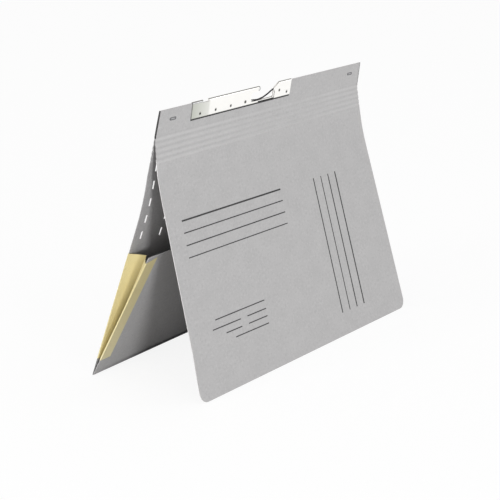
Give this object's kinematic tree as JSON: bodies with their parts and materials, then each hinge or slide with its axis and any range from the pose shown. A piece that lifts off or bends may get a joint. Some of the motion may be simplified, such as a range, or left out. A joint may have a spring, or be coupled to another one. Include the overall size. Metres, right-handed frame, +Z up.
{
  "type": "hanging file folder",
  "caption": "Pendulum hanging file folder of grey board: creased front and back covers, steel rail hook with gate spring, cloth-sided inner pocket and filing fastener.",
  "frame": {"origin": "middle of the footprint on the ground, with the folder standing open like a tent", "axes": "+X along the header fold, to the right seen from the front; +Y from the front cover to the back cover; +Z up"},
  "size_m": [0.3186, 0.1244, 0.2309],
  "materials": {
    "board": "matte",
    "cloth": "matte",
    "plated_steel": "satin",
    "spring_steel": "satin",
    "rivet": "satin",
    "fastener": "satin"
  },
  "bodies": {
    "folder": {"back_cover": "board", "front_header": "board", "gusset_left": "cloth", "gusset_right": "cloth", "hanger": "plated_steel", "spring_rivet": "plated_steel", "header_rivet_left": "rivet", "header_rivet_right": "rivet", "fastener_base": "fastener", "fastener_bar": "fastener"},
    "front": {"front_cover": "board"},
    "pocket": {"pocket_panel": "board"},
    "gate": {"gate_spring": "spring_steel"},
    "slide_left": {"fastener_slide_left": "fastener"},
    "slide_right": {"fastener_slide_right": "fastener"}
  },
  "joints": [
    {"name": "front_fold", "type": "hinge", "parent": "folder", "child": "front", "pos_m": [0, -0.0008, 0.2083], "axis": [1, 0, 0], "range_deg": [-120, 6.8]},
    {"name": "pocket_fold", "type": "hinge", "parent": "folder", "child": "pocket", "pos_m": [0, 0.06132, 0.00025], "axis": [1, 0, 0], "range_deg": [-7.8, 3.6], "deforming": ["gusset_left", "gusset_right"]},
    {"name": "gate_pivot", "type": "hinge", "parent": "folder", "child": "gate", "pos_m": [-0.0346, -0.00216, 0.22033], "axis": [0, 0.99, 0.1409], "range_deg": [0, 3.5], "stiffness_Nm_per_rad": 0.02},
    {"name": "slide_left_run", "type": "slide", "parent": "folder", "child": "slide_left", "axis": [1, 0, 0], "range_m": [0, 0.02]},
    {"name": "slide_right_run", "type": "slide", "parent": "folder", "child": "slide_right", "axis": [-1, 0, 0], "range_m": [0, 0.02]}
  ]
}
